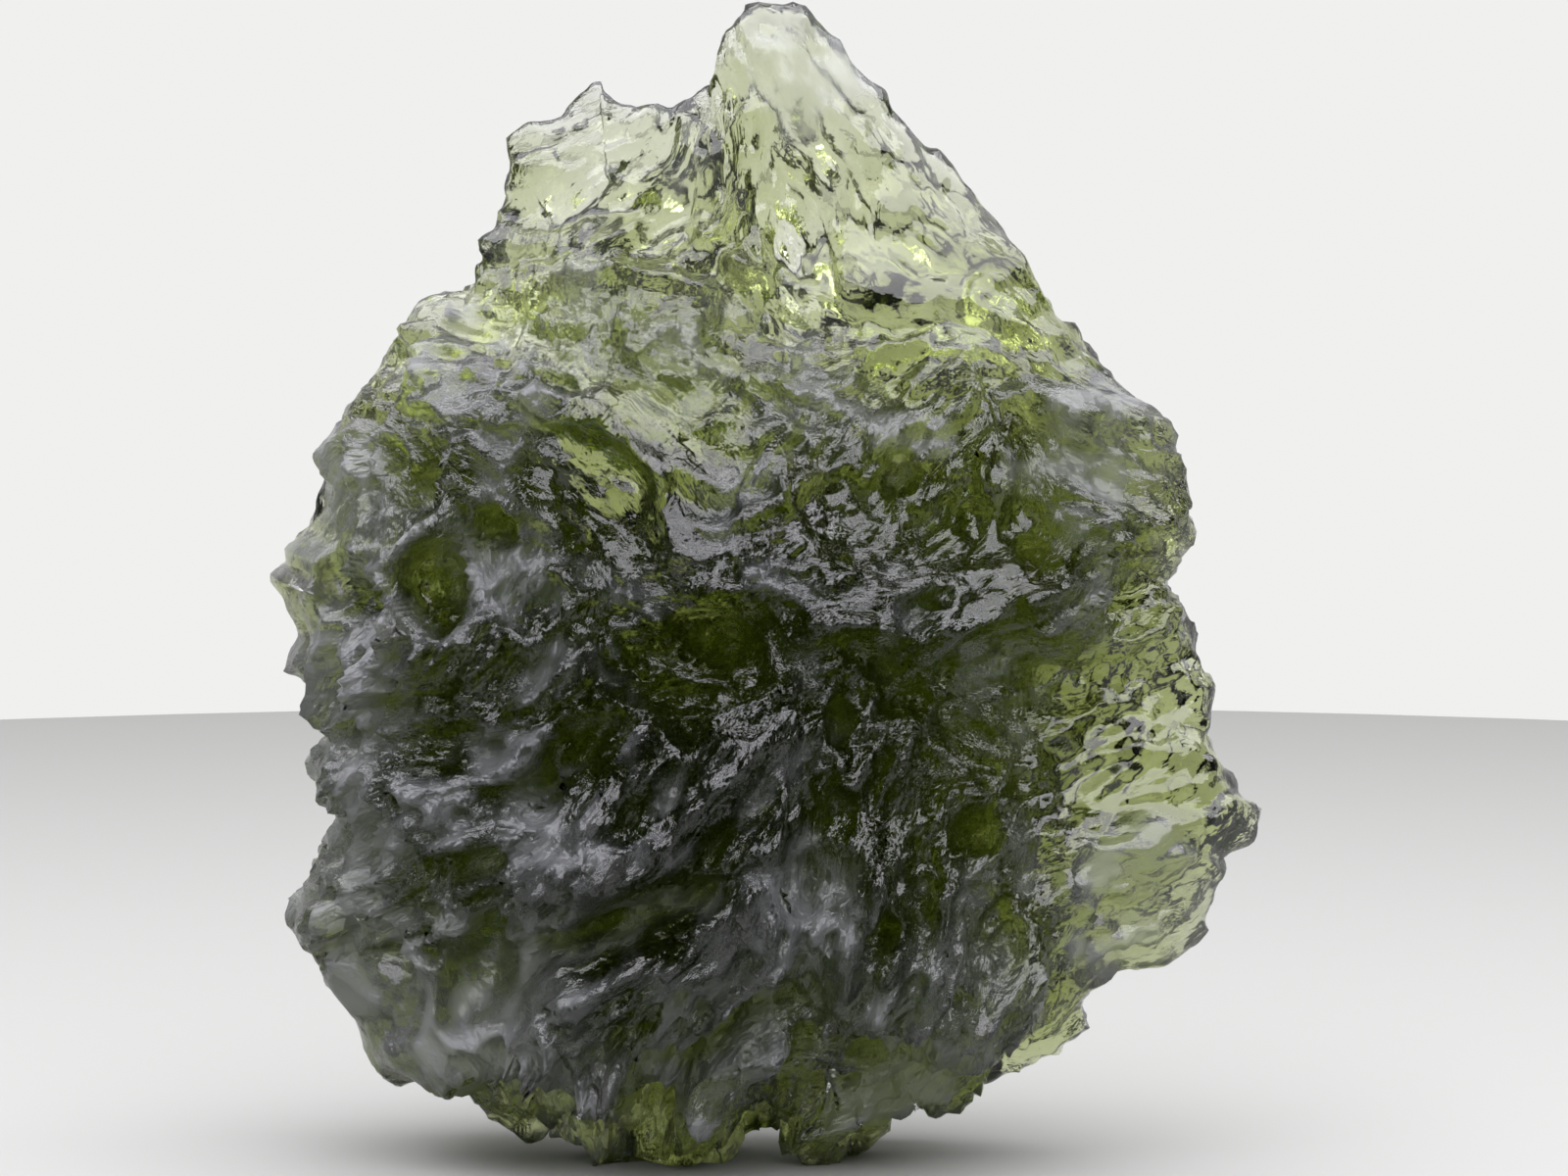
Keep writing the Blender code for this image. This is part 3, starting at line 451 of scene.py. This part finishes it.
# the points pushed out and in by lumps, pits and then scoops of ever smaller widths, less so at the rim
def sculptStone(points, outward, out):
    leftOut, narrow = moldavite["rimBand"]
    share = 1 - leftOut * out**narrow
    for (width, depth, seed), shape in ((moldavite["lumps"], smoothNoise), (moldavite["pits"], roundPits)):
        relief = shape(points, width, seed)
        points = points + outward * (share * depth * (relief - relief.mean()))[:, None]
    turn = grainTurn(points)
    kept, narrow = moldavite["scoopRimBand"]
    share = fineShare(points) * (1 - (1 - kept) * out**narrow)
    for width, stretch, depth, uneven, seed in moldavite["layers"]:
        relief = longScoops(points, turn, width, stretch, uneven, seed)
        points = points + outward * (share * depth * (relief - relief.mean()))[:, None]
    width, radius, depth, steep, seed = moldavite["holes"]
    below, inside = bodyShares(points[:, 0], points[:, 2])
    hole = np.clip(1 - nearestScattered(points, width, seed)[0] / radius**2, 0, 1) ** steep
    return points - outward * (share * below * inside * depth * hole)[:, None]


# the map that the finest grooves follow, at each corner of each quad: the way from the middle of the quad's
# plate, turned so that x runs along the grain and shortened that way, plus a shift that is the plate's own
def grooveMap(points, quads, turn):
    width, stretch, apart, seed = moldavite["plates"]
    corners = points[quads]
    middle = nearestScattered(corners.mean(axis=1), width, seed)[1]
    away = corners - middle[:, None]
    cos, sin = np.cos(turn[quads]), np.sin(turn[quads])
    along = (away[..., 0] * cos + away[..., 2] * sin) / stretch
    across = away[..., 2] * cos - away[..., 0] * sin
    plate = np.floor(middle / width * 64)  # whole numbers that no two plates share
    shift = np.stack([cellNumbers(plate, seed + k) for k in (3, 4, 5)], axis=1) * apart
    return np.stack([along, away[..., 1], across], axis=-1) + shift[:, None]


# the highest crests pressed back: past the first depth of a pair, the rest follows a tanh that levels off
# at the second
def pressCrests(points):
    pressed = points.copy()
    for level, limit in moldavite["crestLimits"]:
        over = (pressed[:, 1] - level) / (limit - level)
        pressed[:, 1] = np.where(over > 0, level + (limit - level) * np.tanh(over), pressed[:, 1])
    return pressed


# the points round the foot drawn down, and what then lies below the ground laid flat on it
def settleFoot(points):
    foot = moldavite["foot"]
    across = (points[:, 0] - foot["middle"][0]) / foot["half"][0]
    deep = (points[:, 1] - foot["middle"][1]) / foot["half"][1]
    near = np.clip(1 - (across**2 + deep**2) ** 2, 0, 1) * ramp(-points[:, 2], -foot["fade"], 0.0)
    settled = points.copy()
    settled[:, 2] = np.maximum(points[:, 2] - foot["reach"] * near, 0.0)
    return settled


# values kept with the mesh, for its material to read
def addAttribute(mesh, name, kind, domain, values):
    attribute = mesh.attributes.new(name, kind, domain)
    attribute.data.foreach_set("vector" if kind == "FLOAT_VECTOR" else "value", values.ravel())


# the stone: two square grids over the broad face, bowed forwards and backwards from a wandering middle by
# each side's depth times a rounding that is 0 at their shared rim, and then sculpted
def makeStone():
    out, place = faceGrid()
    x, z = place[..., 0], place[..., 1]
    rounding = np.sqrt(np.clip(1 - out ** moldavite["bluntness"], 0, 1))
    width, swing, seed = moldavite["rimWander"]
    flat = np.stack([x.ravel(), np.zeros(x.size), z.ravel()], axis=1)
    middle = swing * smoothNoise(flat, width, seed).reshape(x.shape)
    for setback, start, end in moldavite["setbacks"]:
        middle = middle + setback * ramp(z, start, end)
    quads = faceQuads(len(out))
    plain = moldavite["plainDepth"]
    outward = outwardAt(facePoints(x, z, middle, rounding, plain, plain), quads)
    points = facePoints(x, z, middle, rounding, *faceDepths(x, z))
    out = np.concatenate([out.ravel(), out[1:-1, 1:-1].ravel()])
    print("stone: faces laid out,", len(points), "points")
    points = settleFoot(pressCrests(sculptStone(points, outward, out)))
    grooves = grooveMap(points, quads, grainTurn(points))
    below, inside = bodyShares(points[:, 0], points[:, 2])
    body = below * inside
    relief = fineShare(points) * (moldavite["onThinGlass"] + (1 - moldavite["onThinGlass"]) * body)
    box = np.stack([points.min(axis=0), points.max(axis=0)])
    centre = box.mean(axis=0) * (1, 1, 0)
    mesh = bpy.data.meshes.new("moldaviteStone")
    mesh.from_pydata(((points - centre) * millimetre).tolist(), [], quads.tolist())
    mesh.shade_smooth()
    addAttribute(mesh, "grooves", "FLOAT_VECTOR", "CORNER", grooves)
    addAttribute(mesh, "relief", "FLOAT", "POINT", relief)
    addAttribute(mesh, "body", "FLOAT", "POINT", body)
    addAttribute(mesh, "matt", "FLOAT", "POINT", mattShare(points, body))
    stone = bpy.data.objects.new("moldaviteStone", mesh)
    bpy.context.scene.collection.objects.link(stone)
    print("stone: sculpted,", 2 * len(quads), "triangles")
    return stone


# a socket that takes part in sums: each operator adds its own Math node
class Wire:
    def __init__(self, tree, socket):
        self.tree = tree
        self.socket = socket

    def joined(self, operation, first, second):
        return addNode(self.tree, "Math", {"operation": operation}, {0: first, 1: second})[0]

    def __add__(self, other):
        return self.joined("ADD", self, other)

    def __sub__(self, other):
        return self.joined("SUBTRACT", self, other)

    def __rsub__(self, other):
        return self.joined("SUBTRACT", other, self)

    def __mul__(self, other):
        return self.joined("MULTIPLY", self, other)

    __radd__ = __add__
    __rmul__ = __mul__


# one shader node: its settings first, then the values or wires of its sockets, by name or number
def addNode(tree, kind, settings, values):
    node = tree.nodes.new("ShaderNode" + kind)
    for name, setting in settings.items():
        setattr(node, name, setting)
    for name, value in values.items():
        if isinstance(value, Wire):
            tree.links.new(value.socket, node.inputs[name])
        else:
            node.inputs[name].default_value = value
    return [Wire(tree, socket) for socket in node.outputs]


# clear glass that absorbs light inside, with roughness and bump from the mesh's own values, and a thin
# scattering skin over its matt places
def makeStoneGlass():
    glass = bpy.data.materials.new("moldaviteGlass")
    glass.use_nodes = True
    tree = glass.node_tree
    tree.nodes.clear()
    grooves = addNode(tree, "Attribute", {"attribute_name": "grooves"}, {})[1]
    relief, body, matt = (
        addNode(tree, "Attribute", {"attribute_name": name}, {})[2] for name in ("relief", "body", "matt")
    )
    chip = addNode(tree, "TexVoronoi", {}, {"Vector": grooves, "Scale": 1 / moldavite["chipWidth"]})
    away = addNode(tree, "VectorMath", {"operation": "SUBTRACT"}, {0: grooves, 1: chip[2]})[0]
    lean = addNode(tree, "VectorMath", {"operation": "SUBTRACT"}, {0: chip[1], 1: (0.5, 0.5, 0.5)})[0]
    tilted = addNode(tree, "VectorMath", {"operation": "DOT_PRODUCT"}, {0: away, 1: lean})[1]
    groove = addNode(tree, "TexNoise", {}, {
        "Vector": grooves, "Scale": 1 / moldavite["grooveWidth"], "Detail": 2.0,
    })[0]
    height = relief * (tilted * moldavite["chipLean"] + groove * moldavite["grooveDepth"])
    facing = addNode(tree, "Bump", {}, {"Height": height, "Strength": 1.0, "Distance": millimetre})[0]
    rough = moldavite["polish"] + body * (moldavite["gloss"] - moldavite["polish"])
    rough = rough + matt * moldavite["frost"]
    clear = addNode(tree, "BsdfPrincipled", {}, {
        "Base Color": moldavite["tint"], "Roughness": rough, "IOR": moldavite["refraction"],
        "Transmission Weight": 1.0, "Normal": facing,
    })[0]
    skin = addNode(tree, "BsdfPrincipled", {}, {
        "Base Color": moldavite["skinColour"], "Roughness": moldavite["skinRoughness"], "Normal": facing,
    })[0]
    shader = addNode(tree, "MixShader", {}, {0: matt * moldavite["skinShare"], 1: clear, 2: skin})[0]
    lost = np.array(moldavite["absorbed"])
    density = float(lost.max() / 0.95)  # each colour is lost in the share 1 - Color of this
    inside = addNode(tree, "VolumeAbsorption", {}, {
        "Color": (*(1 - lost / density).tolist(), 1.0), "Density": density,
    })[0]
    addNode(tree, "OutputMaterial", {}, {"Surface": shader, "Volume": inside})
    return glass


stone = makeStone()
stone.data.materials.append(makeStoneGlass())
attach(stone, "root")
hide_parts("moldavite")
print("stone: finished")

studio = {
    "wall": (0.871, 0.871, 0.862, 1.0),
    "frontLight": 0.12,  # how bright the room is in front of the stone, as a share of the wall behind it
    "lightEnds": (-0.1, 0.6),  # the directions, as shares of +y, between which it brightens
    "floorColour": (0.262, 0.265, 0.246, 1.0),
    "floorRadius": 100.0,
    "floorEdgeBehind": 122.0,  # millimetres from the stone to the floor's far edge
    "boxSize": 400.0,
    "boxHeight": 150.0,
    "boxForward": 120.0,  # millimetres from over the stone towards the camera
    "boxRadiance": 5.2,
    "boxColour": (0.94, 0.93, 1.0),
    "viewRise": 5.0,  # degrees that the camera looks down by
    "viewDistance": 200.0,
    "frameWidth": 40.0,  # millimetres across the picture at the stone
    "frameMiddle": (0.47, 14.7),  # x and z at the middle of the picture
}


# the floor: a flat disc as a polar grid of radius by angle, with its outer ring drawn a little down
def makeFloor():
    rings, spokes = 24, 96
    radius = np.linspace(0, 1, rings + 1)[1:]
    angle = np.arange(spokes) / spokes * 2 * math.pi
    grid = np.stack([
        radius[:, None] * np.cos(angle), radius[:, None] * np.sin(angle),
        np.repeat(-0.02 * np.clip(radius[:, None] * 12 - 11, 0, 1) ** 2, spokes, axis=1),
    ], axis=-1) * studio["floorRadius"]
    grid[..., 1] += studio["floorEdgeBehind"] - studio["floorRadius"]
    centre = np.array([[0, studio["floorEdgeBehind"] - studio["floorRadius"], 0]])
    points = np.vstack([centre, grid.reshape(-1, 3)]) * millimetre
    inner = 1 + np.arange(spokes)
    fan = np.stack([np.zeros(spokes, int), inner, np.roll(inner, -1)], axis=1).tolist()
    first = 1 + (np.arange(rings - 1)[:, None] * spokes + np.arange(spokes))
    second = 1 + (np.arange(rings - 1)[:, None] * spokes + (np.arange(spokes) + 1) % spokes)
    strips = np.stack([first, first + spokes, second + spokes, second], axis=-1).reshape(-1, 4).tolist()
    mesh = bpy.data.meshes.new("paleFloor")
    mesh.from_pydata(points.tolist(), [], fan + strips)
    mesh.shade_smooth()
    floor = bpy.data.objects.new("paleFloor", mesh)
    bpy.context.scene.collection.objects.link(floor)
    paint = bpy.data.materials.new("paleFloor")
    paint.use_nodes = True
    tree = paint.node_tree
    tree.nodes.clear()
    shader = addNode(tree, "BsdfPrincipled", {}, {"Base Color": studio["floorColour"], "Roughness": 0.8})[0]
    addNode(tree, "OutputMaterial", {}, {"Surface": shader})
    mesh.materials.append(paint)
    return floor


# an object at a place, looking at a target along its own -Z
def aimedAt(data, place, target):
    thing = bpy.data.objects.new(data.name, data)
    bpy.context.scene.collection.objects.link(thing)
    thing.location = place
    thing.rotation_euler = (Vector(target) - Vector(place)).to_track_quat("-Z", "Y").to_euler()
    return thing


# the floor, a room that is dimmer in front of the stone, a soft light overhead and the camera
def makeStudio():
    makeFloor()
    world = bpy.data.worlds.new("studio")
    world.use_nodes = True
    tree = world.node_tree
    tree.nodes.clear()
    side = addNode(tree, "SeparateXYZ", {}, {"Vector": addNode(tree, "TexCoord", {}, {})[0]})[1]
    start, end = studio["lightEnds"]
    behind = addNode(tree, "MapRange", {"interpolation_type": "SMOOTHSTEP"}, {
        "Value": side, "From Min": start, "From Max": end, "To Min": studio["frontLight"], "To Max": 1.0,
    })[0]
    seen = addNode(tree, "LightPath", {}, {})[0]
    strength = seen + (1 - seen) * behind
    sky = addNode(tree, "Background", {}, {"Color": studio["wall"], "Strength": strength})[0]
    addNode(tree, "OutputWorld", {}, {"Surface": sky})
    bpy.context.scene.world = world
    size = studio["boxSize"] * millimetre
    box = bpy.data.lights.new("softBox", "AREA")
    box.size = size
    box.color = studio["boxColour"]
    box.energy = studio["boxRadiance"] * math.pi * size * size
    forward = -studio["boxForward"] * millimetre
    aimedAt(box, (0, forward, studio["boxHeight"] * millimetre), (0, forward, 0))
    x, z = (value * millimetre for value in studio["frameMiddle"])
    rise = math.radians(studio["viewRise"])
    away = studio["viewDistance"] * millimetre
    camera = bpy.data.cameras.new("camera")
    camera.sensor_width = 36.0
    camera.lens = 36.0 * studio["viewDistance"] / studio["frameWidth"]
    camera.clip_start = 0.01
    camera.clip_end = 10.0
    place = (x, -away * math.cos(rise), z + away * math.sin(rise))
    bpy.context.scene.camera = aimedAt(camera, place, (x, 0, z))
    bpy.context.scene.view_settings.view_transform = "Standard"
    print("studio set up")


makeStudio()
